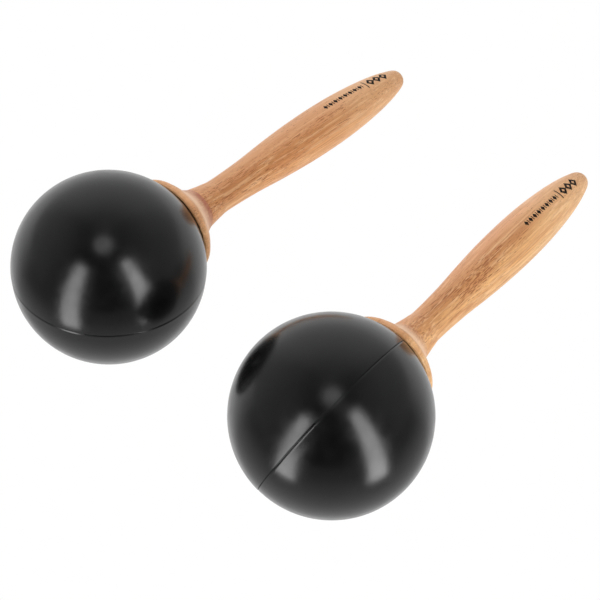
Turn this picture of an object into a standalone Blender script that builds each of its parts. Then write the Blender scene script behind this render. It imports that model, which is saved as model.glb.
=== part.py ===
"""A pair of ball maracas lying side by side on a table.

Each maraca is a hollow ball moulded in two plastic halves, a turned wooden handle whose
tenon the halves close round, a steel pin that locks the tenon, and loose steel shot.

World frame: metres, +Z up, table at Z = 0, +X along the left maraca's handle. The origin
is the middle of the pair's outline on the table.
Maraca frame: origin at the ball's centre, +X along the handle towards its tip, +Z square
to the plane where the two shell halves meet.
"""
import math

import bmesh
import bpy
from mathutils import Matrix, Vector

# Driving dimensions, in metres.
BALL_RADIUS = 0.043
HANDLE_REACH = 0.207            # ball centre to handle tip
SHELL_WALL = 0.0026
FIT_GAP = 0.0003                # clearance between pieces that touch

# Lap joint where the shell halves meet: the lip of one half sits inside the other.
LAP_DEPTH = 0.0015
LIP_THICKNESS = 0.00115
RECESS_DEPTH = LAP_DEPTH + FIT_GAP
RECESS_MARGIN = 0.0006          # how far the recess cutter reaches inside the wall

# Handle: collar, tenon and grip.
COLLAR_GAP = 0.0004             # slit between the ball and the collar's hollow face
COLLAR_FACE_RADIUS = 0.0225     # where the hollow face ends at the rim
TENON_RADIUS = 0.008
TENON_END = 0.020               # ball centre to the inner end of the tenon
TENON_CHAMFER = 0.0008

# Socket tube inside the ball, and the pin across it.
SOCKET_RADIUS = TENON_RADIUS + FIT_GAP
SOCKET_OUTER_RADIUS = 0.012
SOCKET_END = 0.0185             # ball centre to the inner end of the socket
SOCKET_ROOT = 0.040             # where the tube ends, inside the thickness of the wall
PIN_RADIUS = 0.0015
PIN_HALF_LENGTH = 0.0102
PIN_FROM_CENTRE = 0.029
PIN_HOLE_RADIUS = PIN_RADIUS + FIT_GAP
PIN_POCKET_END = PIN_HALF_LENGTH + FIT_GAP

# Shot: one pellet at the lowest point of the ball and two rings round it.
PELLET_RADIUS = 0.0025
PELLET_WALL_GAP = 0.0006
PELLET_PITCH = 0.0057
PELLET_RINGS = (1, 6, 12)
PELLET_ORBIT = BALL_RADIUS - SHELL_WALL - PELLET_WALL_GAP - PELLET_RADIUS

# How the two maracas lie: the second ball beside the first, its handle turned a little
# outwards, and how far each is rolled about its own handle.
RIGHT_BALL_OFFSET = Vector((0.0077, -0.1233))
HANDLE_YAWS = {"left": 0.0, "right": math.radians(3.54)}
SEAM_ROLLS = {"left": math.radians(175.5), "right": math.radians(107.9)}

# Facets.
BALL_SEGMENTS = 32
BALL_ARC_STEPS = 8
HANDLE_SEGMENTS = 20
COLLAR_FACE_STEPS = 4
GRIP_STATIONS = 28
PIN_SEGMENTS = 12
PELLET_SUBDIVISIONS = 2
SHARP_ANGLE = math.radians(35)
MERGE_DISTANCE = 1e-6
OVERRUN = 0.002                 # how far a cutter runs past what it cuts
TILT_STATIONS = 400             # points of the grip tried when it is laid on the table

# Outline of the handle as (distance from the ball's centre, radius), in ball radii.
COLLAR_OUTLINE = (
    (0.872, 0.543), (0.900, 0.553), (0.940, 0.536), (0.980, 0.497), (1.019, 0.458),
    (1.058, 0.386), (1.100, 0.337), (1.150, 0.305), (1.200, 0.284), (1.250, 0.258),
    (1.300, 0.237),
)
GRIP_OUTLINE = (
    (1.300, 0.237), (1.400, 0.219), (1.500, 0.204), (1.652, 0.190), (2.099, 0.205),
    (2.521, 0.237), (2.914, 0.259), (3.280, 0.267), (3.615, 0.263), (3.919, 0.247),
    (4.187, 0.223), (4.419, 0.191), (4.607, 0.153), (4.746, 0.112), (4.814, 0.0),
)

MATERIALS = {
    "black_plastic": ((0.012, 0.012, 0.013), 0.28, 0.0),
    "turned_wood": ((0.62, 0.36, 0.17), 0.5, 0.0),
    "pin_steel": ((0.55, 0.55, 0.56), 0.35, 1.0),
    "shot_steel": ((0.42, 0.42, 0.44), 0.3, 1.0),
}


def clear_scene():
    for item in list(bpy.data.objects):
        bpy.data.objects.remove(item, do_unlink=True)


def make_materials():
    made = {}
    for name, (colour, roughness, metallic) in MATERIALS.items():
        material = bpy.data.materials.new(name)
        material.use_nodes = True
        shader = material.node_tree.nodes["Principled BSDF"]
        shader.inputs["Base Color"].default_value = (*colour, 1.0)
        shader.inputs["Roughness"].default_value = roughness
        shader.inputs["Metallic"].default_value = metallic
        material.diffuse_color = (*colour, 1.0)
        made[name] = material
    return made


def smooth_curve(points, count):
    """Points along a Catmull-Rom curve through the given (x, y) points.

    The second value is interpolated as its square, so a curve that ends at y = 0 ends in
    a round nose, square to the axis.
    """
    knots = [(x, y * y) for x, y in points]
    first, last = knots[0], knots[-1]
    knots.insert(0, (2 * first[0] - knots[1][0], 2 * first[1] - knots[1][1]))
    knots.append((2 * last[0] - knots[-2][0], 2 * last[1] - knots[-2][1]))
    spans = len(points) - 1
    curve = []
    for i in range(count + 1):
        place = spans * i / count
        span = min(int(place), spans - 1)
        t = place - span
        p0, p1, p2, p3 = knots[span:span + 4]
        values = []
        for a, b, c, d in zip(p0, p1, p2, p3):
            cubic = (-a + 3 * b - 3 * c + d) * t ** 3
            square = (2 * a - 5 * b + 4 * c - d) * t ** 2
            values.append(0.5 * (cubic + square + (c - a) * t + 2 * b))
        curve.append((values[0], math.sqrt(max(values[1], 0.0))))
    return curve


def scaled(points):
    return [(x * BALL_RADIUS, y * BALL_RADIUS) for x, y in points]


def grip_profile():
    return scaled(smooth_curve(GRIP_OUTLINE, GRIP_STATIONS))


def handle_profile():
    """Closed outline of the handle from the tenon's end to the tip, in metres."""
    face_sphere = BALL_RADIUS + COLLAR_GAP
    start = math.asin(TENON_RADIUS / face_sphere)
    end = math.asin(COLLAR_FACE_RADIUS / face_sphere)
    profile = [
        (TENON_END, 0.0),
        (TENON_END, TENON_RADIUS - TENON_CHAMFER),
        (TENON_END + TENON_CHAMFER, TENON_RADIUS),
    ]
    for i in range(COLLAR_FACE_STEPS + 1):
        angle = start + (end - start) * i / COLLAR_FACE_STEPS
        profile.append((face_sphere * math.cos(angle), face_sphere * math.sin(angle)))
    profile += scaled(COLLAR_OUTLINE)
    profile += grip_profile()[1:]
    return profile


def resting_tilt():
    """Angle by which the handle slopes down from the ball's centre to touch the table."""
    tilts = []
    for reach, radius in scaled(smooth_curve(GRIP_OUTLINE, TILT_STATIONS)):
        span = math.hypot(reach, radius)
        tilts.append(math.asin(BALL_RADIUS / span) - math.atan2(radius, reach))
    return min(tilts)


def ball_centres():
    """Centre of each ball, with the pair's outline centred on the world's origin."""
    level_reach = HANDLE_REACH * math.cos(resting_tilt())
    right_tip = RIGHT_BALL_OFFSET.x + level_reach * math.cos(HANDLE_YAWS["right"])
    middle_x = (right_tip - BALL_RADIUS) / 2
    middle_y = RIGHT_BALL_OFFSET.y / 2
    left = Vector((-middle_x, -middle_y, BALL_RADIUS))
    right = left + Vector((RIGHT_BALL_OFFSET.x, RIGHT_BALL_OFFSET.y, 0.0))
    return {"left": left, "right": right}


def maraca_matrix(side):
    """Maraca frame to world: roll about the handle, tilt it down, turn it, and place it."""
    place = Matrix.Translation(ball_centres()[side])
    turn = Matrix.Rotation(HANDLE_YAWS[side], 4, "Z")
    tilt = Matrix.Rotation(resting_tilt(), 4, "Y")
    roll = Matrix.Rotation(SEAM_ROLLS[side], 4, "X")
    return place @ turn @ tilt @ roll


def object_from(bm, name):
    bmesh.ops.recalc_face_normals(bm, faces=bm.faces)
    mesh = bpy.data.meshes.new(name)
    bm.to_mesh(mesh)
    bm.free()
    made = bpy.data.objects.new(name, mesh)
    bpy.context.scene.collection.objects.link(made)
    return made


def turned(name, profile, axis, segments):
    """Solid of revolution of (along the axis, radius) points about +X or +Z."""
    bm = bmesh.new()
    if axis == "X":
        places = [Vector((along, radius, 0.0)) for along, radius in profile]
    else:
        places = [Vector((radius, 0.0, along)) for along, radius in profile]
    verts = [bm.verts.new(place) for place in places]
    closed = profile[0][1] > 0.0
    edges = [bm.edges.new(pair) for pair in zip(verts, verts[1:])]
    if closed:
        edges.append(bm.edges.new((verts[-1], verts[0])))
    direction = Vector((1, 0, 0)) if axis == "X" else Vector((0, 0, 1))
    bmesh.ops.spin(bm, geom=verts + edges, cent=(0, 0, 0), axis=direction,
                   angle=2 * math.pi, steps=segments, use_merge=True)
    bmesh.ops.remove_doubles(bm, verts=bm.verts, dist=MERGE_DISTANCE)
    return object_from(bm, name)


def rod(name, radius, low, high, axis, segments):
    return turned(name, [(low, 0.0), (low, radius), (high, radius), (high, 0.0)], axis, segments)


def combine(target, tool, operation):
    """Join a helper solid to the target, or cut it away, and remove the helper."""
    step = target.modifiers.new(operation, "BOOLEAN")
    step.operation = operation
    step.solver = "EXACT"
    step.object = tool
    depsgraph = bpy.context.evaluated_depsgraph_get()
    result = bpy.data.meshes.new_from_object(target.evaluated_get(depsgraph))
    target.modifiers.remove(step)
    target.data = result
    bpy.data.objects.remove(tool, do_unlink=True)


def arc(radius, start_height, rising):
    """(height, radius) points on a sphere between the seam and the pole."""
    low = math.asin(start_height / radius)
    points = []
    for i in range(BALL_ARC_STEPS + 1):
        angle = low + (math.pi / 2 - low) * i / BALL_ARC_STEPS
        points.append((radius * math.sin(angle), radius * math.cos(angle)))
    points[-1] = (radius, 0.0)
    return points if rising else points[::-1]


def half_bowl(name):
    """Half of the hollow ball, on the +Z side of the seam, with a flat rim."""
    rim = FIT_GAP / 2
    profile = arc(BALL_RADIUS, rim, rising=False)
    profile += arc(BALL_RADIUS - SHELL_WALL, rim, rising=True)
    return turned(name, profile, "Z", BALL_SEGMENTS)


def add_socket(shell):
    """Half of the tube that grips the tenon, with a pocket for one end of the pin."""
    tube = rod("socket", SOCKET_OUTER_RADIUS, SOCKET_END, SOCKET_ROOT, "X", HANDLE_SEGMENTS)
    below = rod("below", 2 * BALL_RADIUS, -BALL_RADIUS, FIT_GAP / 2, "Z", PIN_SEGMENTS)
    combine(tube, below, "DIFFERENCE")
    combine(shell, tube, "UNION")


def cut_bore_and_pocket(shell):
    bore = rod("bore", SOCKET_RADIUS, SOCKET_END - OVERRUN, BALL_RADIUS + OVERRUN, "X",
               HANDLE_SEGMENTS)
    combine(shell, bore, "DIFFERENCE")
    pocket = rod("pocket", PIN_HOLE_RADIUS, 0.0, PIN_POCKET_END, "Z", PIN_SEGMENTS)
    pocket.data.transform(Matrix.Translation((PIN_FROM_CENTRE, 0.0, 0.0)))
    combine(shell, pocket, "DIFFERENCE")


def ring(name, inner, outer, low, high):
    profile = [(low, inner), (low, outer), (high, outer), (high, inner)]
    return turned(name, profile, "Z", BALL_SEGMENTS)


def shell_with_lip(name):
    """The half whose thin inner lip runs across the seam into the other half."""
    shell = half_bowl(name)
    add_socket(shell)
    inner = BALL_RADIUS - SHELL_WALL
    lip = ring("lip", inner, inner + LIP_THICKNESS, -LAP_DEPTH, LAP_DEPTH)
    combine(shell, lip, "UNION")
    cut_bore_and_pocket(shell)
    return shell


def shell_with_recess(name):
    """The half whose rim is cut back on the inside to take the lip."""
    shell = half_bowl(name)
    add_socket(shell)
    inner = BALL_RADIUS - SHELL_WALL
    room = ring("room", inner - RECESS_MARGIN, inner + LIP_THICKNESS + FIT_GAP, -OVERRUN,
                RECESS_DEPTH)
    combine(shell, room, "DIFFERENCE")
    cut_bore_and_pocket(shell)
    shell.data.transform(Matrix.Rotation(math.pi, 4, "X"))
    return shell


def make_handle(name):
    handle = turned(name, handle_profile(), "X", HANDLE_SEGMENTS)
    hole = rod("hole", PIN_HOLE_RADIUS, -TENON_RADIUS - OVERRUN, TENON_RADIUS + OVERRUN, "Z",
               PIN_SEGMENTS)
    hole.data.transform(Matrix.Translation((PIN_FROM_CENTRE, 0.0, 0.0)))
    combine(handle, hole, "DIFFERENCE")
    return handle


def make_pin(name):
    pin = rod(name, PIN_RADIUS, -PIN_HALF_LENGTH, PIN_HALF_LENGTH, "Z", PIN_SEGMENTS)
    pin.data.transform(Matrix.Translation((PIN_FROM_CENTRE, 0.0, 0.0)))
    return pin


def pellet_places(side):
    """World position of each pellet at rest, and how far it can rise inside the ball."""
    centre = ball_centres()[side]
    places = []
    for ring_number, count in enumerate(PELLET_RINGS):
        angle = ring_number * PELLET_PITCH / PELLET_ORBIT
        for i in range(count):
            turn = 2 * math.pi * (i + 0.5 * (ring_number % 2)) / count
            level = PELLET_ORBIT * math.sin(angle)
            drop = PELLET_ORBIT * math.cos(angle)
            place = centre + Vector((level * math.cos(turn), level * math.sin(turn), -drop))
            places.append((place, 2 * drop - PELLET_WALL_GAP))
    return places


def make_pellet(name, place):
    bm = bmesh.new()
    bmesh.ops.create_icosphere(bm, subdivisions=PELLET_SUBDIVISIONS, radius=PELLET_RADIUS)
    pellet = object_from(bm, name)
    pellet.location = place
    return pellet


def finish(made, material):
    made.data.materials.clear()
    made.data.materials.append(material)
    made.data.shade_smooth()
    made.data.set_sharp_from_angle(angle=SHARP_ANGLE)


def make_maraca(side, materials):
    frame = maraca_matrix(side)
    pieces = (
        (make_handle(side + "_handle"), "turned_wood"),
        (shell_with_lip(side + "_shell_lip_half"), "black_plastic"),
        (shell_with_recess(side + "_shell_recess_half"), "black_plastic"),
        (make_pin(side + "_tenon_pin"), "pin_steel"),
    )
    for piece, slot in pieces:
        piece.matrix_world = frame
        finish(piece, materials[slot])
    for number, (place, _) in enumerate(pellet_places(side), start=1):
        pellet = make_pellet(f"{side}_pellet_{number:02d}", place)
        finish(pellet, materials["shot_steel"])


def main():
    clear_scene()
    materials = make_materials()
    for side in ("left", "right"):
        make_maraca(side, materials)


main()
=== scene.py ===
"""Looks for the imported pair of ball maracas: fine shells, turned handles, materials, studio.

Everything is in metres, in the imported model's frame, +Z up, with the table at Z = 0.
Each maraca also has its own frame, in which its pieces are made: origin at the ball's
centre, +X along the handle towards its tip, +Z square to the seam of the two shell halves,
on the side of the half with the lip.
"""
import math

import bmesh
import bpy
import numpy as np
from mathutils import Matrix, Vector


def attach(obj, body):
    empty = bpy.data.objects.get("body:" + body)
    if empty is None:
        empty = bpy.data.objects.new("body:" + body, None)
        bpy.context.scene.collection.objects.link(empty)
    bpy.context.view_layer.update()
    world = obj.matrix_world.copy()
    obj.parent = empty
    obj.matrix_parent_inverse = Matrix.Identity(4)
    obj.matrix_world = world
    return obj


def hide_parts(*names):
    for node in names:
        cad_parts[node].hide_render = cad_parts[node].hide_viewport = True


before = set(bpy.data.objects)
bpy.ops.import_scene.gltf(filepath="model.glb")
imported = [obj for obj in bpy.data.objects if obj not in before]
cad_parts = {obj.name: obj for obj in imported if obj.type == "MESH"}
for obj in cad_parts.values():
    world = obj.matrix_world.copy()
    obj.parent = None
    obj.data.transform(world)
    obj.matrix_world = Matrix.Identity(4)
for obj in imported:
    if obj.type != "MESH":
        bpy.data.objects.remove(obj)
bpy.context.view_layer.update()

SIDES = ("left", "right")
MM = 0.001

# Shell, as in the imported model.
BALL_RADIUS = 0.043
SHELL_WALL = 0.0026
FIT_GAP = 0.0003
LAP_DEPTH = 0.0015
LIP_THICKNESS = 0.00115
SOCKET_RADIUS = 0.0083
SOCKET_OUTER_RADIUS = 0.012
SOCKET_END = 0.0185
SOCKET_ROOT = 0.040
PIN_FROM_CENTRE = 0.029
PIN_HOLE_RADIUS = 0.0018
PIN_POCKET_END = 0.0105
OVERRUN = 0.002

# What the moulded halves show at the seam: a narrow groove between two edges that roll in.
# The lip half flares out a little towards it: past the flare its outside is that much smaller.
SEAM_GAP = 0.00028
LIP_FLARE = 0.00014
LIP_FLARE_REACH = math.radians(5)
LIP_ROLL = (0.00080, 0.00022)       # width and depth of the rolled edge
RECESS_ROLL = (0.00020, 0.00012)

# Handle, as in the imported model. The outlines are in ball radii.
TENON_RADIUS = 0.008
TENON_END = 0.020
TENON_CHAMFER = 0.0008
COLLAR_GAP = 0.0004
COLLAR_FACE_RADIUS = 0.0225
COLLAR_OUTLINE = (
    (0.872, 0.543), (0.900, 0.553), (0.940, 0.536), (0.980, 0.497), (1.019, 0.458),
    (1.058, 0.386), (1.100, 0.337), (1.150, 0.305), (1.200, 0.284), (1.250, 0.258),
    (1.300, 0.237),
)
GRIP_OUTLINE = (
    (1.300, 0.237), (1.400, 0.219), (1.500, 0.204), (1.652, 0.190), (2.099, 0.205),
    (2.521, 0.237), (2.914, 0.259), (3.280, 0.267), (3.615, 0.263), (3.919, 0.247),
    (4.187, 0.223), (4.419, 0.191), (4.607, 0.153), (4.746, 0.112), (4.814, 0.0),
)

# Tool mark turned in where the collar meets the grip.
CREASE_PLACE = 1.292 * BALL_RADIUS
CREASE_DEPTH = 0.00006
CREASE_HALF_WIDTH = 0.0009
CREASE_STAIN_AND_SHADE = 0.0080           # length of the stain and painted shade on its collar side

# Facets of the fine meshes.
BALL_SEGMENTS = 192
OUTER_ARC_STEPS = 60
OUTER_ARC_CROWDING = 1.25       # over 1 draws the steps closer together towards the rim
INNER_ARC_STEPS = 20
EDGE_STEPS = 8
HANDLE_SEGMENTS = 128
COLLAR_STATIONS = 60
GRIP_STATIONS = 170
FACE_STATIONS = 12
CREASE_STATIONS = 12
ROD_SEGMENTS = 48
SHARP_ANGLE = math.radians(35)
MERGE_DISTANCE = 1e-7

# Camera and studio. The studio frame has +Y away from the camera along the table.
CAMERA_TARGET = Vector((-0.0183, 0.0073, 0.0))
CAMERA_AZIMUTH = math.radians(-48.22)
CAMERA_ELEVATION = math.radians(54.39)
CAMERA_DISTANCE = 0.7293
CAMERA_LENS = 93.40                 # in millimetres
SENSOR_WIDTH = 36.0                 # in millimetres
CLIP_START = 0.01
CAMERA_SHIFT = (-0.0004, 0.0012)    # in image widths
STUDIO = Matrix.Translation(CAMERA_TARGET) @ Matrix.Rotation(CAMERA_AZIMUTH, 4, "Z")


# ---------------------------------------------------------------- placing the maracas

def node_points(node):
    return np.array([vertex.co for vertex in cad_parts[node].data.vertices])


def maraca_matrix(side):
    """Maraca frame to world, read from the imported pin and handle.

    The pin's middle is PIN_FROM_CENTRE along +X, the pin lies along Z, and the handle's
    tip is its farthest point from the pin.
    """
    pin = node_points(side + "_tenon_pin")
    middle = (pin.min(axis=0) + pin.max(axis=0)) / 2
    handle = node_points(side + "_handle")
    tip = handle[np.argmax(np.linalg.norm(handle - middle, axis=1))]
    along = Vector(tip - middle).normalized()
    up = Vector(np.linalg.svd(pin - middle)[2][0])
    lip_half = node_points(side + "_shell_lip_half").mean(axis=0)
    if up.dot(Vector(lip_half - middle)) < 0.0:
        up.negate()
    across = up.cross(along).normalized()
    up = along.cross(across)
    centre = Vector(middle) - along * PIN_FROM_CENTRE
    turn = Matrix((along, across, up)).transposed().to_4x4()
    return Matrix.Translation(centre) @ turn


# ---------------------------------------------------------------- mesh tools

def smooth_curve(points, count):
    """Points along a Catmull-Rom curve, with the second value interpolated as its square.

    That makes a curve that ends at y = 0 end in a round nose, square to the axis.
    """
    knots = [(x, y * y) for x, y in points]
    first, last = knots[0], knots[-1]
    knots.insert(0, (2 * first[0] - knots[1][0], 2 * first[1] - knots[1][1]))
    knots.append((2 * last[0] - knots[-2][0], 2 * last[1] - knots[-2][1]))
    spans = len(points) - 1
    curve = []
    for i in range(count + 1):
        place = spans * i / count
        span = min(int(place), spans - 1)
        t = place - span
        p0, p1, p2, p3 = knots[span:span + 4]
        values = []
        for a, b, c, d in zip(p0, p1, p2, p3):
            cubic = (-a + 3 * b - 3 * c + d) * t ** 3
            square = (2 * a - 5 * b + 4 * c - d) * t ** 2
            values.append(0.5 * (cubic + square + (c - a) * t + 2 * b))
        curve.append((values[0], math.sqrt(max(values[1], 0.0))))
    return curve


def scaled(points):
    return [(x * BALL_RADIUS, y * BALL_RADIUS) for x, y in points]


def object_from(bm, name):
    bmesh.ops.recalc_face_normals(bm, faces=bm.faces)
    mesh = bpy.data.meshes.new(name)
    bm.to_mesh(mesh)
    bm.free()
    made = bpy.data.objects.new(name, mesh)
    bpy.context.scene.collection.objects.link(made)
    return made


def turned(name, profile, axis, segments):
    """Solid of revolution of (along the axis, radius) points about +X or +Z."""
    bm = bmesh.new()
    if axis == "X":
        places = [Vector((along, radius, 0.0)) for along, radius in profile]
    else:
        places = [Vector((radius, 0.0, along)) for along, radius in profile]
    verts = [bm.verts.new(place) for place in places]
    edges = [bm.edges.new(pair) for pair in zip(verts, verts[1:])]
    if profile[0][1] > 0.0:
        edges.append(bm.edges.new((verts[-1], verts[0])))
    direction = Vector((1, 0, 0)) if axis == "X" else Vector((0, 0, 1))
    bmesh.ops.spin(bm, geom=verts + edges, cent=(0, 0, 0), axis=direction,
                   angle=2 * math.pi, steps=segments, use_merge=True)
    bmesh.ops.remove_doubles(bm, verts=bm.verts, dist=MERGE_DISTANCE)
    return object_from(bm, name)


def rod(name, radius, low, high, axis):
    profile = [(low, 0.0), (low, radius), (high, radius), (high, 0.0)]
    return turned(name, profile, axis, ROD_SEGMENTS)


def combine(target, tool, operation):
    """Join a helper solid to the target, or cut it away, and remove the helper."""
    step = target.modifiers.new(operation, "BOOLEAN")
    step.operation = operation
    step.solver = "EXACT"
    step.object = tool
    depsgraph = bpy.context.evaluated_depsgraph_get()
    result = bpy.data.meshes.new_from_object(target.evaluated_get(depsgraph))
    target.modifiers.remove(step)
    target.data = result
    bpy.data.objects.remove(tool, do_unlink=True)


def take_mesh(helper):
    mesh = helper.data
    bpy.data.objects.remove(helper, do_unlink=True)
    return mesh


def shade(mesh):
    mesh.shade_smooth()
    mesh.set_sharp_from_angle(angle=SHARP_ANGLE)


# ---------------------------------------------------------------- shell halves

def outer_arc(flare, roll):
    """Outside of a half from its pole to its rolled rim edge, as (height, radius)."""
    roll_width, roll_depth = roll
    low = math.asin((SEAM_GAP / 2 + roll_width) / BALL_RADIUS)
    points = [(BALL_RADIUS - flare, 0.0)]
    for i in range(1, OUTER_ARC_STEPS + 1):
        share = i / OUTER_ARC_STEPS
        along = 1 - (1 - share) ** OUTER_ARC_CROWDING
        angle = math.pi / 2 - (math.pi / 2 - low) * along
        left = max(1 - angle / LIP_FLARE_REACH, 0.0)
        radius = BALL_RADIUS - flare * (1 - left ** 2)
        points.append((radius * math.sin(angle), radius * math.cos(angle)))
    edge_radius = points[-1][1] - roll_depth
    for i in range(1, EDGE_STEPS + 1):
        turn = math.pi / 2 * i / EDGE_STEPS
        height = SEAM_GAP / 2 + roll_width * (1 - math.sin(turn))
        points.append((height, edge_radius + roll_depth * math.cos(turn)))
    return points


def inner_arc(start_height):
    """Inside of a half from a height above the seam to its pole."""
    radius = BALL_RADIUS - SHELL_WALL
    low = math.asin(start_height / radius)
    points = []
    for i in range(INNER_ARC_STEPS):
        angle = low + (math.pi / 2 - low) * i / INNER_ARC_STEPS
        points.append((radius * math.sin(angle), radius * math.cos(angle)))
    return points + [(radius, 0.0)]


def lip_profile():
    inner = BALL_RADIUS - SHELL_WALL
    lip = [
        (SEAM_GAP / 2, inner + LIP_THICKNESS),
        (-LAP_DEPTH, inner + LIP_THICKNESS),
        (-LAP_DEPTH, inner),
    ]
    return outer_arc(LIP_FLARE, LIP_ROLL) + lip + inner_arc(LAP_DEPTH)


def recess_profile():
    wall = BALL_RADIUS - SHELL_WALL + LIP_THICKNESS + FIT_GAP
    recess = [(SEAM_GAP / 2, wall), (LAP_DEPTH + FIT_GAP, wall)]
    return outer_arc(0.0, RECESS_ROLL) + recess + inner_arc(LAP_DEPTH + FIT_GAP)


def make_half(name, profile):
    """Half of the hollow ball, with half of the socket tube and a pocket for the pin."""
    shell = turned(name, profile, "Z", BALL_SEGMENTS)
    tube = rod("socket", SOCKET_OUTER_RADIUS, SOCKET_END, SOCKET_ROOT, "X")
    below = rod("below", 2 * BALL_RADIUS, -BALL_RADIUS, SEAM_GAP / 2, "Z")
    combine(tube, below, "DIFFERENCE")
    combine(shell, tube, "UNION")
    bore = rod("bore", SOCKET_RADIUS, SOCKET_END - OVERRUN, BALL_RADIUS + OVERRUN, "X")
    combine(shell, bore, "DIFFERENCE")
    pocket = rod("pocket", PIN_HOLE_RADIUS, 0.0, PIN_POCKET_END, "Z")
    pocket.data.transform(Matrix.Translation((PIN_FROM_CENTRE, 0.0, 0.0)))
    combine(shell, pocket, "DIFFERENCE")
    return take_mesh(shell)


# ---------------------------------------------------------------- handles

def with_crease(profile):
    """The outline with a shallow groove turned in at CREASE_PLACE."""
    low, high = CREASE_PLACE - CREASE_HALF_WIDTH, CREASE_PLACE + CREASE_HALF_WIDTH
    places, radii = zip(*profile)
    groove = []
    for i in range(CREASE_STATIONS + 1):
        share = i / CREASE_STATIONS
        place = low + (high - low) * share
        depth = CREASE_DEPTH * (1 - math.cos(2 * math.pi * share)) / 2
        groove.append((place, float(np.interp(place, places, radii)) - depth))
    before = [point for point in profile if point[0] < low]
    after = [point for point in profile if point[0] > high]
    return before + groove + after


def handle_profile():
    """Closed outline of the handle from the tenon's end to the tip."""
    face_sphere = BALL_RADIUS + COLLAR_GAP
    start = math.asin(TENON_RADIUS / face_sphere)
    end = math.asin(COLLAR_FACE_RADIUS / face_sphere)
    profile = [
        (TENON_END, 0.0),
        (TENON_END, TENON_RADIUS - TENON_CHAMFER),
        (TENON_END + TENON_CHAMFER, TENON_RADIUS),
    ]
    for i in range(FACE_STATIONS + 1):
        angle = start + (end - start) * i / FACE_STATIONS
        profile.append((face_sphere * math.cos(angle), face_sphere * math.sin(angle)))
    outside = smooth_curve(COLLAR_OUTLINE, COLLAR_STATIONS)
    outside += smooth_curve(GRIP_OUTLINE, GRIP_STATIONS)[1:]
    return profile + with_crease(scaled(outside))


def make_handle():
    handle = turned("handle", handle_profile(), "X", HANDLE_SEGMENTS)
    reach = TENON_RADIUS + OVERRUN
    hole = rod("hole", PIN_HOLE_RADIUS, -reach, reach, "Z")
    hole.data.transform(Matrix.Translation((PIN_FROM_CENTRE, 0.0, 0.0)))
    combine(handle, hole, "DIFFERENCE")
    return take_mesh(handle)


# ---------------------------------------------------------------- shader graphs

class Graph:
    """Adds nodes to a node tree. An input is a number, a tuple or another node's output."""

    def __init__(self, tree):
        self.tree = tree

    def add(self, kind, inputs=None, **settings):
        node = self.tree.nodes.new(kind)
        for key, value in settings.items():
            setattr(node, key, value)
        for key, value in (inputs or {}).items():
            self.feed(node.inputs[key], value)
        return node

    def feed(self, socket, value):
        if isinstance(value, bpy.types.NodeSocket):
            self.tree.links.new(value, socket)
        else:
            socket.default_value = value

    def math(self, operation, *values):
        return self.add("ShaderNodeMath", dict(enumerate(values)), operation=operation).outputs[0]

    def times(self, first, *others):
        for other in others:
            first = self.math("MULTIPLY", first, other)
        return first

    def ramp(self, value, *stops):
        """Grey or colour ramp of (position, number or rgb) stops."""
        node = self.add("ShaderNodeValToRGB", {"Fac": value})
        elements = node.color_ramp.elements
        while len(elements) < len(stops):
            elements.new(1.0)
        for element, (position, colour) in zip(elements, stops):
            rgb = colour if isinstance(colour, tuple) else (colour,) * 3
            element.position = position
            element.color = (*rgb, 1.0)
        return node.outputs["Color"]

    def step(self, value, low, high, first=0.0, last=1.0):
        """first below low, last above high, and a smooth change between them."""
        inputs = {"Value": value, "From Min": low, "From Max": high,
                  "To Min": first, "To Max": last}
        return self.add("ShaderNodeMapRange", inputs, interpolation_type="SMOOTHSTEP").outputs[0]

    def paint(self, colour, cover, rgb):
        """The colour with a plain rgb laid over it, as far as cover says."""
        node = self.add("ShaderNodeMix", data_type="RGBA")
        self.feed(node.inputs["Factor"], cover)
        self.feed(node.inputs[6], colour)
        self.feed(node.inputs[7], (*rgb, 1.0))
        return node.outputs[2]

    def stretch(self, vector, scale, offset=(0.0, 0.0, 0.0)):
        inputs = {"Vector": vector, "Scale": scale, "Location": offset}
        return self.add("ShaderNodeMapping", inputs).outputs[0]

    def in_frame(self, vector, matrix):
        """The point as seen in the frame that matrix places in the world."""
        inputs = {"Vector": vector, "Location": matrix.to_translation(),
                  "Rotation": matrix.to_euler()}
        return self.add("ShaderNodeMapping", inputs, vector_type="TEXTURE").outputs[0]

    def noise(self, vector, scale=1.0, detail=2.0, roughness=0.5):
        inputs = {"Vector": vector, "Scale": scale, "Detail": detail, "Roughness": roughness}
        return self.add("ShaderNodeTexNoise", inputs).outputs[0]

    def cells(self, vector):
        """Distance to the nearest cell point, and that cell's random colour."""
        node = self.add("ShaderNodeTexVoronoi", {"Vector": vector, "Scale": 1.0})
        return node.outputs["Distance"], node.outputs["Color"]

    def parts(self, vector):
        return tuple(self.add("ShaderNodeSeparateXYZ", {"Vector": vector}).outputs)

    def spun(self, vector, axis, angle):
        inputs = {"Vector": vector, "Angle": angle}
        node = self.add("ShaderNodeVectorRotate", inputs, rotation_type=axis + "_AXIS")
        return node.outputs[0]

    def bump(self, height, distance, strength):
        inputs = {"Height": height, "Distance": distance, "Strength": strength}
        return self.add("ShaderNodeBump", inputs).outputs[0]


def new_material(name):
    """A material with an empty Principled shader, its graph and its object coordinates."""
    material = bpy.data.materials.new(name)
    material.use_nodes = True
    tree = material.node_tree
    graph = Graph(tree)
    shader = tree.nodes["Principled BSDF"]
    place = graph.add("ShaderNodeTexCoord").outputs["Object"]
    return material, graph, shader, place


# ---------------------------------------------------------------- black plastic

PLASTIC_DARK = (0.0018, 0.0018, 0.0020)
PLASTIC_LIGHT = (0.0036, 0.0036, 0.0038)
PLASTIC_ROUGHNESS = (0.20, 0.27)    # lowest and highest
PLASTIC_IOR = 1.5
# Noise scales, per metre: clouds in the colour, marks of handling, and the moulded skin.
CLOUD_SCALE = 60.0
HANDLING_SCALE = 130.0
SKIN_SCALE = 700.0
SKIN_DEPTH = 0.02 * MM


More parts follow.
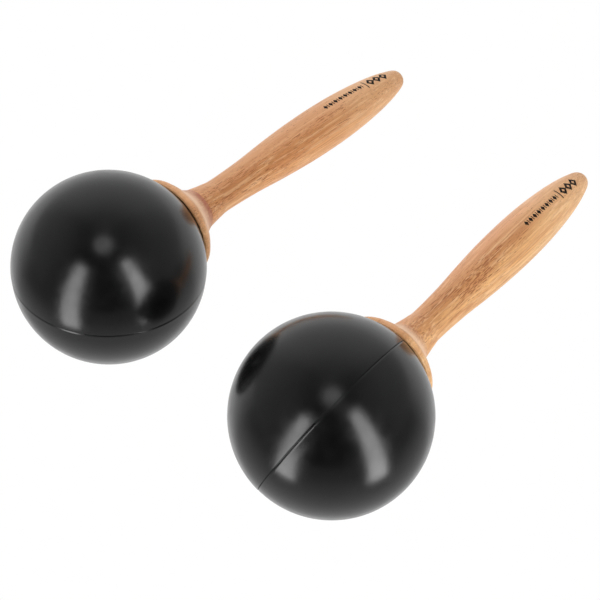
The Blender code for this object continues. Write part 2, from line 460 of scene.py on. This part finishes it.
def black_plastic():
    material, graph, shader, place = new_material("black_plastic")
    cloud = graph.noise(place, CLOUD_SCALE, 4.0)
    graph.feed(shader.inputs["Base Color"],
               graph.ramp(cloud, (0.35, PLASTIC_DARK), (0.65, PLASTIC_LIGHT)))
    handling = graph.noise(place, HANDLING_SCALE, 5.0, 0.6)
    graph.feed(shader.inputs["Roughness"], graph.step(handling, 0.3, 0.75, *PLASTIC_ROUGHNESS))
    skin = graph.noise(place, SKIN_SCALE, 2.0)
    graph.feed(shader.inputs["Normal"], graph.bump(skin, SKIN_DEPTH, 0.35))
    shader.inputs["IOR"].default_value = PLASTIC_IOR
    return material


# ---------------------------------------------------------------- wood

# The broad colours across the width of a handle as it lies, from its far side to its near side.
WOOD_BANDS = {
    "left": (
        (0.14, (0.81, 0.410, 0.198)), (0.33, (0.73, 0.347, 0.153)), (0.45, (0.65, 0.294, 0.108)),
        (0.56, (0.67, 0.304, 0.108)), (0.69, (0.78, 0.378, 0.153)), (0.80, (0.85, 0.430, 0.171)),
        (0.95, (0.92, 0.514, 0.243)),
    ),
    "right": (
        (0.14, (0.86, 0.441, 0.225)), (0.26, (0.76, 0.378, 0.171)), (0.42, (0.64, 0.294, 0.108)),
        (0.51, (0.71, 0.347, 0.135)), (0.62, (0.81, 0.430, 0.171)), (0.72, (0.91, 0.514, 0.216)),
        (0.86, (0.90, 0.473, 0.180)), (0.95, (0.93, 0.557, 0.243)),
    ),
}
# Angle of the board's face about the handle, from local +Y towards +Z.
GRAIN_ANGLES = {"left": math.radians(44), "right": math.radians(92)}
# Where in the wood's pattern each handle is cut, so that the two differ.
GRAIN_SHIFTS = {"left": (0.50, 0.13, 0.0), "right": (1.00, 0.26, 0.0)}
HANDLE_HALF_WIDTH = 0.0115
WANDER = 0.30                       # of the bands, as a share of the handle's width
WANDER_SCALE = (14.0, 60.0, 60.0)

# Streaks drawn out along the handle, in the order in which they are laid over the bands.
# Each has its noise's scale along and across the grain, offset, detail and roughness, the
# two noise values that it changes between, its cover at each of them, and its colour.
STREAKS = {
    "layers": ((9.0, 480.0, 480.0), (0.0, 0.0, 0.0), 4.0, 0.7,
               (0.38, 0.60), (0.50, 0.0), (0.56, 0.22, 0.08)),
    "pale": ((14.0, 900.0, 900.0), (2.0, 0.0, 5.0), 2.0, 0.5,
             (0.50, 0.66), (0.0, 0.42), (1.0, 0.68, 0.38)),
    "fibres": ((40.0, 1900.0, 1900.0), (0.0, 0.0, 0.0), 3.0, 0.7,
               (0.38, 0.56), (0.45, 0.0), (0.44, 0.15, 0.05)),
}
# Strength of the streaks on a handle's far side, against 1 in the middle.
CALM_GRAIN = {"left": 0.40, "right": 0.75}
# The grip grows paler towards its tip.
TIP_COLOUR = (1.0, 0.66, 0.36)
TIP_COVER = 0.30
PALE_TIP_START = 3.1 * BALL_RADIUS
PALE_TIP_END = 4.1 * BALL_RADIUS

PORE_COLOUR = (0.30, 0.075, 0.014)
PORE_COVER = 0.80
PORE_REACH = 0.50               # of the largest pores, in cells of their pattern
TIP_PORES = 0.55                # size of the pores at the tip, against 1 elsewhere
PORE_PATCH_SCALE = (18.0, 150.0, 150.0)
PORE_PATCH_OFFSET = (0.0, 4.0, 0.0)
# How open the grain is across the handle, from its far side to its near side.
OPEN_GRAIN = ((0.20, 0.45), (0.38, 1.0), (0.58, 1.0), (0.78, 0.45))
# Pores of each size: scale along and across the grain, offset of the pattern, darkness.
PORE_SIZES = (
    ((70.0, 1650.0, 1650.0), (0.0, 0.0, 0.0), 1.0),
    ((110.0, 2100.0, 2100.0), (3.0, 7.0, 5.0), 1.0),
    ((210.0, 2300.0, 2300.0), (8.0, 1.0, 2.0), 0.7),
)
LACQUER_ROUGHNESS = (0.42, 0.52)    # lowest and highest
LACQUER_SCALE = (60.0, 300.0, 300.0)
PORE_ROUGHNESS = 0.2                # more than the lacquer's, in a pore
RELIEF_DEPTH = 0.05 * MM
FIBRE_RELIEF = 0.25                 # against 1 for a pore
PLAIN_SPECULAR = 0.5
INK_SPECULAR = 0.08

# Collar: its ring, a painted highlight on the fillet, the stain and painted shade at the
# crease, and painted shade on the face next to the ball. Places are along the handle from the
# ball's centre, where a colour starts to change and ends.
RING_COLOUR = (0.90, 0.52, 0.25)
RING_COVER = 0.22
RING_FALL = (1.00 * BALL_RADIUS, 1.06 * BALL_RADIUS)
# Painted highlight: the fillet is painted pale, as if a sheen lit it.
FILLET_HIGHLIGHT_COLOUR = (1.0, 0.72, 0.50)
FILLET_HIGHLIGHT_COVER = 0.80
FILLET_HIGHLIGHT_RISE = (0.96 * BALL_RADIUS, 1.03 * BALL_RADIUS)
FILLET_HIGHLIGHT_FALL = (1.12 * BALL_RADIUS, 1.30 * BALL_RADIUS)
# The stain and painted shade are darkest at an angle about the handle, from local +Y towards +Z.
# Stain with painted shade: red-brown by the crease, darker on one side of the handle and in the
# groove.
STAIN_AND_SHADE_COLOUR = (0.42, 0.11, 0.055)
STAIN_AND_SHADE_ANGLES = {"left": math.radians(-70), "right": math.radians(90)}
STAIN_AND_SHADE_DARKNESS = {"left": 0.85, "right": 0.20}
STAIN_AND_SHADE_FACING = (-3.0 * MM, 9.0 * MM)    # distances towards that angle
STAIN_AND_SHADE_BLOTCH_SCALE = 300.0
# Painted shade in the gap: the collar's face next to the ball is painted nearly black.
GAP_SHADE_COLOUR = (0.020, 0.009, 0.005)
GAP_SHADE_COVER = 0.95
GAP_SHADE_FALL = (0.05 * MM, 0.35 * MM)       # distances out from the collar's face

# Printed ornament: a row of open lozenges near the tip, a bar, and a row of small lozenges
# with a tick after each. A row is its start along the handle, its pitch and its number of
# marks. A half size is along and across the handle.
ORNAMENT_ANGLES = {"left": math.radians(-91), "right": math.radians(-8.5)}
INK_COLOUR = (0.006, 0.005, 0.005)
INK_WEAR_SCALE = 2600.0
OPEN_ROW = (179.2 * MM, 5.1 * MM, 3)
OPEN_HALF_SIZE = (2.75 * MM, 2.7 * MM)
OPEN_LINE = 0.66                # width of an open lozenge's line, as a share of the way in
BAR_PLACE = 177.6 * MM
BAR_HALF_SIZE = (0.36 * MM, 3.0 * MM)
SMALL_ROW = (145.6 * MM, 3.75 * MM, 8)
SMALL_SHIFT = -0.65 * MM        # from the middle of its place in the row
SMALL_HALF_SIZE = (1.25 * MM, 1.5 * MM)
TICK_SHIFT = 1.15 * MM
TICK_HALF_SIZE = (0.26 * MM, 1.2 * MM)


def reaches(graph, along, across, half_size):
    """Distances along and across from a mark's middle, as shares of its half size."""
    return [graph.math("DIVIDE", graph.math("ABSOLUTE", distance), half)
            for distance, half in zip((along, across), half_size)]


def lozenge(graph, along, across, half_size):
    """1 at the middle of the lozenge, 0 at its edge and less outside."""
    return graph.math("SUBTRACT", 1.0,
                      graph.math("ADD", *reaches(graph, along, across, half_size)))


def bar(graph, along, across, half_size):
    """1 at the middle of the bar, 0 at its edge and less outside."""
    return graph.math("SUBTRACT", 1.0,
                      graph.math("MAXIMUM", *reaches(graph, along, across, half_size)))


def repeated(graph, along, start, pitch, count):
    """Distance from the middle of the nearest place in a row, and 1 inside the row."""
    place = graph.math("DIVIDE", graph.math("SUBTRACT", along, start), pitch)
    phase = graph.math("SUBTRACT", graph.math("FRACT", place), 0.5)
    inside = graph.math("COMPARE", place, count / 2, count / 2)
    return graph.times(phase, pitch), inside


def ornament(graph, place, angle):
    """Mask of the printed ornament, on the side of the handle that faces angle."""
    x, out, across = graph.parts(graph.spun(place, "X", -angle))
    facing = graph.math("GREATER_THAN", out, 0.0)

    offset, inside = repeated(graph, x, *OPEN_ROW)
    shape = lozenge(graph, offset, across, OPEN_HALF_SIZE)
    line = graph.times(graph.math("GREATER_THAN", shape, 0.0),
                       graph.math("LESS_THAN", shape, OPEN_LINE))
    open_marks = graph.times(line, inside)

    rule = bar(graph, graph.math("SUBTRACT", x, BAR_PLACE), across, BAR_HALF_SIZE)

    offset, inside = repeated(graph, x, *SMALL_ROW)
    small = lozenge(graph, graph.math("SUBTRACT", offset, SMALL_SHIFT), across, SMALL_HALF_SIZE)
    tick = bar(graph, graph.math("SUBTRACT", offset, TICK_SHIFT), across, TICK_HALF_SIZE)
    either = graph.math("GREATER_THAN", graph.math("MAXIMUM", small, tick), 0.0)
    small_marks = graph.times(either, inside)

    marks = graph.math("MAXIMUM", open_marks, graph.math("GREATER_THAN", rule, 0.0))
    return graph.times(graph.math("MAXIMUM", marks, small_marks), facing)


def pores(graph, place, scale, offset, size):
    """Short dashes along the grain, 1 inside a pore; size is a number or an output."""
    distance, colour = graph.cells(graph.stretch(place, scale, offset))
    reach = graph.times(graph.math("MULTIPLY_ADD", colour, 0.6, 0.4), size)
    return graph.step(graph.math("DIVIDE", distance, reach), 0.75, 1.0, 1.0, 0.0)


def collar_marks_and_painted_light(graph, place, side, colour):
    """The wood's colour with the collar's marks over it: its ring, a painted highlight on the
    fillet, the stain and painted shade at the crease, and painted shade on the face next to the
    ball.
    """
    x = graph.parts(place)[0]
    colour = graph.paint(colour, graph.step(x, *RING_FALL, RING_COVER, 0.0), RING_COLOUR)
    # Painted highlight: the fillet painted pale.
    fillet_highlight = graph.times(graph.step(x, *FILLET_HIGHLIGHT_RISE), graph.step(x, *FILLET_HIGHLIGHT_FALL, 1.0, 0.0))
    colour = graph.paint(colour, graph.times(fillet_highlight, FILLET_HIGHLIGHT_COVER), FILLET_HIGHLIGHT_COLOUR)

    # Stain and painted shade at the crease: a blotchy red-brown patch on its collar side, darkest
    # towards one angle about the handle.
    before = graph.math("SUBTRACT", CREASE_PLACE, x)
    edge = graph.step(before, -0.3 * MM, 0.2 * MM)
    fade = graph.step(before, 0.4 * MM, CREASE_STAIN_AND_SHADE, 1.0, 0.0)
    out = graph.parts(graph.spun(place, "X", -STAIN_AND_SHADE_ANGLES[side]))[1]
    facing = graph.step(out, *STAIN_AND_SHADE_FACING, 0.30, 1.0)
    blotch = graph.step(graph.noise(place, STAIN_AND_SHADE_BLOTCH_SCALE, 3.0), 0.35, 0.60, 0.55, 1.0)
    stain_and_shade = graph.times(edge, fade, facing, blotch)
    # Painted shade along the groove itself.
    line = graph.step(graph.math("ABSOLUTE", before), 0.1 * MM, 0.6 * MM, 0.6, 0.0)
    stain_and_shade = graph.times(graph.math("MAXIMUM", stain_and_shade, line), STAIN_AND_SHADE_DARKNESS[side])
    colour = graph.paint(colour, stain_and_shade, STAIN_AND_SHADE_COLOUR)

    # Painted shade on the collar's face next to the ball, in the gap between them.
    reach = graph.add("ShaderNodeVectorMath", {0: place}, operation="LENGTH").outputs["Value"]
    out_from_face = graph.math("SUBTRACT", reach, BALL_RADIUS + COLLAR_GAP)
    return graph.paint(colour, graph.step(out_from_face, *GAP_SHADE_FALL, GAP_SHADE_COVER, 0.0), GAP_SHADE_COLOUR)


def turned_wood(side):
    material, graph, shader, rest_place = new_material(side + "_turned_wood")
    place = graph.in_frame(rest_place, maraca_matrix(side))
    shifted = graph.stretch(place, (1.0, 1.0, 1.0), GRAIN_SHIFTS[side])

    # Broad bands across the board, wandering a little along the handle.
    wander = graph.noise(graph.stretch(shifted, WANDER_SCALE))
    across = graph.parts(graph.spun(place, "X", -GRAIN_ANGLES[side]))[1]
    share = graph.math("MULTIPLY_ADD", across, 0.5 / HANDLE_HALF_WIDTH, 0.5)
    share = graph.math("ADD", share, graph.math("MULTIPLY_ADD", wander, WANDER, -WANDER / 2))
    colour = graph.ramp(share, *WOOD_BANDS[side])

    # Growth layers, pale streaks and fibres, fainter on the handle's far side.
    contrast = graph.ramp(share, (0.22, CALM_GRAIN[side]), (0.42, 1.0))
    noises = {}
    for name, (scale, offset, detail, roughness, values, covers, tint) in STREAKS.items():
        noises[name] = graph.noise(graph.stretch(shifted, scale, offset), 1.0, detail, roughness)
        cover = graph.times(graph.step(noises[name], *values, *covers), contrast)
        colour = graph.paint(colour, cover, tint)
    towards_tip = graph.step(graph.parts(place)[0], PALE_TIP_START, PALE_TIP_END)
    colour = graph.paint(colour, graph.times(towards_tip, TIP_COVER), TIP_COLOUR)

    # Pores, more and longer where the grain is dark, and finer at the tip.
    patches = graph.noise(graph.stretch(shifted, PORE_PATCH_SCALE, PORE_PATCH_OFFSET), 1.0, 1.0)
    thinning = graph.math("MULTIPLY_ADD", towards_tip, TIP_PORES - 1.0, 1.0)
    size = graph.times(graph.ramp(share, *OPEN_GRAIN), graph.step(patches, 0.30, 0.60, 0.45, 1.0),
                       thinning, PORE_REACH)
    pore = 0.0
    for scale, offset, depth in PORE_SIZES:
        layer = pores(graph, shifted, scale, offset, size)
        pore = graph.math("MAXIMUM", pore, graph.times(layer, depth))
    colour = graph.paint(colour, graph.times(pore, PORE_COVER), PORE_COLOUR)

    colour = collar_marks_and_painted_light(graph, place, side, colour)

    ink = ornament(graph, place, ORNAMENT_ANGLES[side])
    worn = graph.step(graph.noise(shifted, INK_WEAR_SCALE), 0.30, 0.42, 0.75, 1.0)
    colour = graph.paint(colour, graph.times(ink, worn), INK_COLOUR)
    graph.feed(shader.inputs["Base Color"], colour)
    specular = graph.math("MULTIPLY_ADD", ink, INK_SPECULAR - PLAIN_SPECULAR, PLAIN_SPECULAR)
    graph.feed(shader.inputs["Specular IOR Level"], specular)

    sheen = graph.noise(graph.stretch(shifted, LACQUER_SCALE), 1.0, 3.0)
    roughness = graph.step(sheen, 0.3, 0.7, *LACQUER_ROUGHNESS)
    roughness = graph.math("MULTIPLY_ADD", pore, PORE_ROUGHNESS, roughness)
    graph.feed(shader.inputs["Roughness"], roughness)
    relief = graph.math("MULTIPLY_ADD", noises["fibres"], FIBRE_RELIEF, graph.times(pore, -1.0))
    graph.feed(shader.inputs["Normal"], graph.bump(relief, RELIEF_DEPTH, 0.5))
    return material


# ---------------------------------------------------------------- steel inside

# Bare and oxidised colour, lowest and highest roughness, and the noise scale per metre.
STEELS = {
    "pin_steel": ((0.56, 0.56, 0.57), (0.34, 0.33, 0.32), (0.25, 0.42), 900.0),
    "shot_steel": ((0.44, 0.44, 0.46), (0.20, 0.19, 0.19), (0.22, 0.45), 700.0),
}
SCRATCH_STRETCH = (4.0, 4.0, 0.4)
SCRATCH_DEPTH = 0.02 * MM


def steel(name):
    """Dull steel: patches of oxide, uneven polish and fine scratches."""
    bare, oxide, roughness, scale = STEELS[name]
    material, graph, shader, place = new_material(name)
    patches = graph.noise(place, scale, 4.0, 0.6)
    graph.feed(shader.inputs["Base Color"], graph.ramp(patches, (0.35, oxide), (0.62, bare)))
    scratches = graph.noise(graph.stretch(place, SCRATCH_STRETCH), scale * 2, 3.0)
    graph.feed(shader.inputs["Roughness"], graph.step(scratches, 0.3, 0.7, *roughness))
    graph.feed(shader.inputs["Normal"], graph.bump(scratches, SCRATCH_DEPTH, 0.4))
    shader.inputs["Metallic"].default_value = 1.0
    return material


# ---------------------------------------------------------------- the object

def dress(node, material):
    """Give a carried-over node its material."""
    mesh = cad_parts[node].data
    mesh.materials.clear()
    mesh.materials.append(material)


def add_piece(mesh, side, part, material):
    """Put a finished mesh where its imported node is, riding on the maraca's body."""
    node = side + "_" + part
    mesh.transform(maraca_matrix(side))
    shade(mesh)
    mesh.materials.clear()
    mesh.materials.append(material)
    piece = bpy.data.objects.new(node + "_fine", mesh)
    bpy.context.scene.collection.objects.link(piece)
    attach(piece, side + "_maraca")
    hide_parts(node)


def build_object():
    plastic = black_plastic()
    lip_mesh = make_half("shell_lip_half_fine", lip_profile())
    recess_mesh = make_half("shell_recess_half_fine", recess_profile())
    recess_mesh.transform(Matrix.Rotation(math.pi, 4, "X"))
    pin_metal = steel("pin_steel")
    shot_metal = steel("shot_steel")
    for side in SIDES:
        add_piece(lip_mesh.copy(), side, "shell_lip_half", plastic)
        add_piece(recess_mesh.copy(), side, "shell_recess_half", plastic)
        add_piece(make_handle(), side, "handle", turned_wood(side))
        dress(side + "_tenon_pin", pin_metal)
        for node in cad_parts:
            if node.startswith(side + "_pellet_"):
                dress(node, shot_metal)


# ---------------------------------------------------------------- studio

FLOOR_REACH = 4.0
FLOOR_WHITE = (0.80, 0.80, 0.80, 1.0)
FLOOR_GLOW = 0.45
WHITE = (1.0, 1.0, 1.0, 1.0)


def make_floor():
    """White table. The camera sees it as plain white, and the balls don't reflect it: the
    world below the horizon stands in for it there."""
    corners = [(-FLOOR_REACH, -FLOOR_REACH), (FLOOR_REACH, -FLOOR_REACH),
               (FLOOR_REACH, FLOOR_REACH), (-FLOOR_REACH, FLOOR_REACH)]
    mesh = bpy.data.meshes.new("floor")
    mesh.from_pydata([STUDIO @ Vector((x, y, 0.0)) for x, y in corners], [], [(0, 1, 2, 3)])
    floor = bpy.data.objects.new("floor", mesh)
    bpy.context.scene.collection.objects.link(floor)
    floor.visible_glossy = False
    material = bpy.data.materials.new("floor_white")
    material.use_nodes = True
    graph = Graph(material.node_tree)
    material.node_tree.nodes.remove(material.node_tree.nodes["Principled BSDF"])
    matt = graph.add("ShaderNodeBsdfDiffuse", {"Color": FLOOR_WHITE})
    glow = graph.add("ShaderNodeEmission", {"Color": WHITE, "Strength": FLOOR_GLOW})
    lit = graph.add("ShaderNodeAddShader", {0: matt.outputs[0], 1: glow.outputs[0]})
    plain = graph.add("ShaderNodeEmission", {"Color": WHITE})
    seen = graph.add("ShaderNodeLightPath").outputs["Is Camera Ray"]
    blend = graph.add("ShaderNodeMixShader", {0: seen, 1: lit.outputs[0], 2: plain.outputs[0]})
    output = material.node_tree.nodes["Material Output"]
    graph.feed(output.inputs["Surface"], blend.outputs[0])
    mesh.materials.append(material)


# Softboxes either side of the camera, in the studio frame: middle of the box on the plan,
# width, bottom and top, and radiance compared with the white background.
SOFTBOXES = {
    "softbox_left": ((-0.743, -0.919), 0.350, -0.49, 1.30, 5.7),
    "softbox_right": ((0.721, -0.877), 0.330, -0.51, 1.60, 6.6),
}
FILL_FROM = (-0.51, 0.35, 0.78)     # direction in the studio frame
FILL_STRENGTH = 0.30
FILL_ANGLE = math.radians(60)

# What the balls reflect, as grey levels. WALLS goes round the studio, from the camera's side
# at 0 to the back at 1. WALL_TOP dims it by the upward part of the direction. TABLE is the
# table by the downward part, up to FAR_TABLE behind the maracas.
WALLS = ((0.0, 0.03), (0.14, 0.04), (0.38, 0.34), (0.60, 0.43), (0.82, 0.52), (0.93, 0.82),
         (1.0, 0.88))
WALL_TOP = ((0.0, 1.0), (0.60, 0.93), (0.79, 0.72), (0.92, 0.45), (1.0, 0.35))
TABLE = ((0.0, 0.22), (0.22, 0.27), (0.33, 0.38), (0.45, 0.50), (0.87, 0.70), (1.0, 0.82))
FAR_TABLE = 0.97
FAR_TABLE_RISE = (-0.2, 0.60)       # towards the back, from -1 to 1
HORIZON_BLUR = 0.04
OVERHEAD_TILT = math.radians(11)    # of the lamp, from straight up towards the camera
OVERHEAD_EDGE = (math.radians(13), math.radians(6))
OVERHEAD_RADIANCE = 2.0


def make_softbox(name, middle, width, bottom, top, radiance):
    light = bpy.data.lights.new(name, "AREA")
    light.shape = "RECTANGLE"
    light.size = width
    light.size_y = top - bottom
    light.energy = radiance * math.pi * width * (top - bottom)
    box = bpy.data.objects.new(name, light)
    bpy.context.scene.collection.objects.link(box)
    inward = Vector((-middle[0], -middle[1], 0.0))
    aim = inward.to_track_quat("-Z", "Y").to_matrix().to_4x4()
    place = Matrix.Translation((middle[0], middle[1], (bottom + top) / 2))
    box.matrix_world = STUDIO @ place @ aim
    box.visible_camera = False


def make_fill():
    """Soft light on the far sides of the handles, kept out of the balls' reflections."""
    light = bpy.data.lights.new("fill", "SUN")
    light.energy = FILL_STRENGTH * math.pi
    light.angle = FILL_ANGLE
    fill = bpy.data.objects.new("fill", light)
    bpy.context.scene.collection.objects.link(fill)
    aim = (-Vector(FILL_FROM)).to_track_quat("-Z", "Y").to_matrix().to_4x4()
    fill.matrix_world = STUDIO @ aim
    fill.visible_glossy = False


def make_world():
    """White for the camera. The balls reflect a bright back, grey sides, a dark front and,
    from below, a table that is palest under them."""
    world = bpy.data.worlds.new("studio")
    bpy.context.scene.world = world
    world.use_nodes = True
    tree = world.node_tree
    tree.nodes.clear()
    graph = Graph(tree)
    direction = graph.add("ShaderNodeTexCoord").outputs["Generated"]
    y, z = graph.parts(graph.spun(direction, "Z", -CAMERA_AZIMUTH))[1:]
    level = graph.math("SQRT", graph.math("SUBTRACT", 1.0, graph.times(z, z)))
    back = graph.math("DIVIDE", y, graph.math("MAXIMUM", level, 0.05))
    around = graph.ramp(graph.math("MULTIPLY_ADD", back, 0.5, 0.5), *WALLS)
    walls = graph.times(around, graph.ramp(z, *WALL_TOP))
    far_table = graph.times(graph.step(back, *FAR_TABLE_RISE), FAR_TABLE)
    table = graph.math("MAXIMUM", graph.ramp(graph.times(z, -1.0), *TABLE), far_table)
    below = graph.step(z, -HORIZON_BLUR, HORIZON_BLUR, 1.0, 0.0)
    room = graph.math("ADD", graph.times(walls, graph.math("SUBTRACT", 1.0, below)),
                      graph.times(table, below))
    towards_lamp = graph.math("MULTIPLY_ADD", y, -math.sin(OVERHEAD_TILT),
                              graph.times(z, math.cos(OVERHEAD_TILT)))
    outer, inner = (math.cos(angle) for angle in OVERHEAD_EDGE)
    lamp = graph.step(towards_lamp, outer, inner, 0.0, OVERHEAD_RADIANCE)
    seen = graph.add("ShaderNodeLightPath").outputs["Is Camera Ray"]
    strength = graph.add("ShaderNodeMix", data_type="FLOAT")
    graph.feed(strength.inputs["Factor"], seen)
    graph.feed(strength.inputs[2], graph.math("ADD", room, lamp))
    graph.feed(strength.inputs[3], 1.0)
    background = graph.add("ShaderNodeBackground", {"Color": WHITE})
    graph.feed(background.inputs["Strength"], strength.outputs[0])
    output = graph.add("ShaderNodeOutputWorld")
    graph.feed(output.inputs["Surface"], background.outputs[0])


def make_camera():
    data = bpy.data.cameras.new("camera")
    data.lens = CAMERA_LENS
    data.sensor_width = SENSOR_WIDTH
    data.clip_start = CLIP_START
    data.shift_x, data.shift_y = CAMERA_SHIFT
    camera = bpy.data.objects.new("camera", data)
    bpy.context.scene.collection.objects.link(camera)
    back = Vector((0.0, -math.cos(CAMERA_ELEVATION), math.sin(CAMERA_ELEVATION)))
    aim = (-back).to_track_quat("-Z", "Y").to_matrix().to_4x4()
    camera.matrix_world = STUDIO @ Matrix.Translation(back * CAMERA_DISTANCE) @ aim
    bpy.context.scene.camera = camera


make_camera()
build_object()
make_floor()
for softbox, settings in SOFTBOXES.items():
    make_softbox(softbox, *settings)
make_fill()
make_world()
bpy.context.scene.view_settings.view_transform = "Standard"
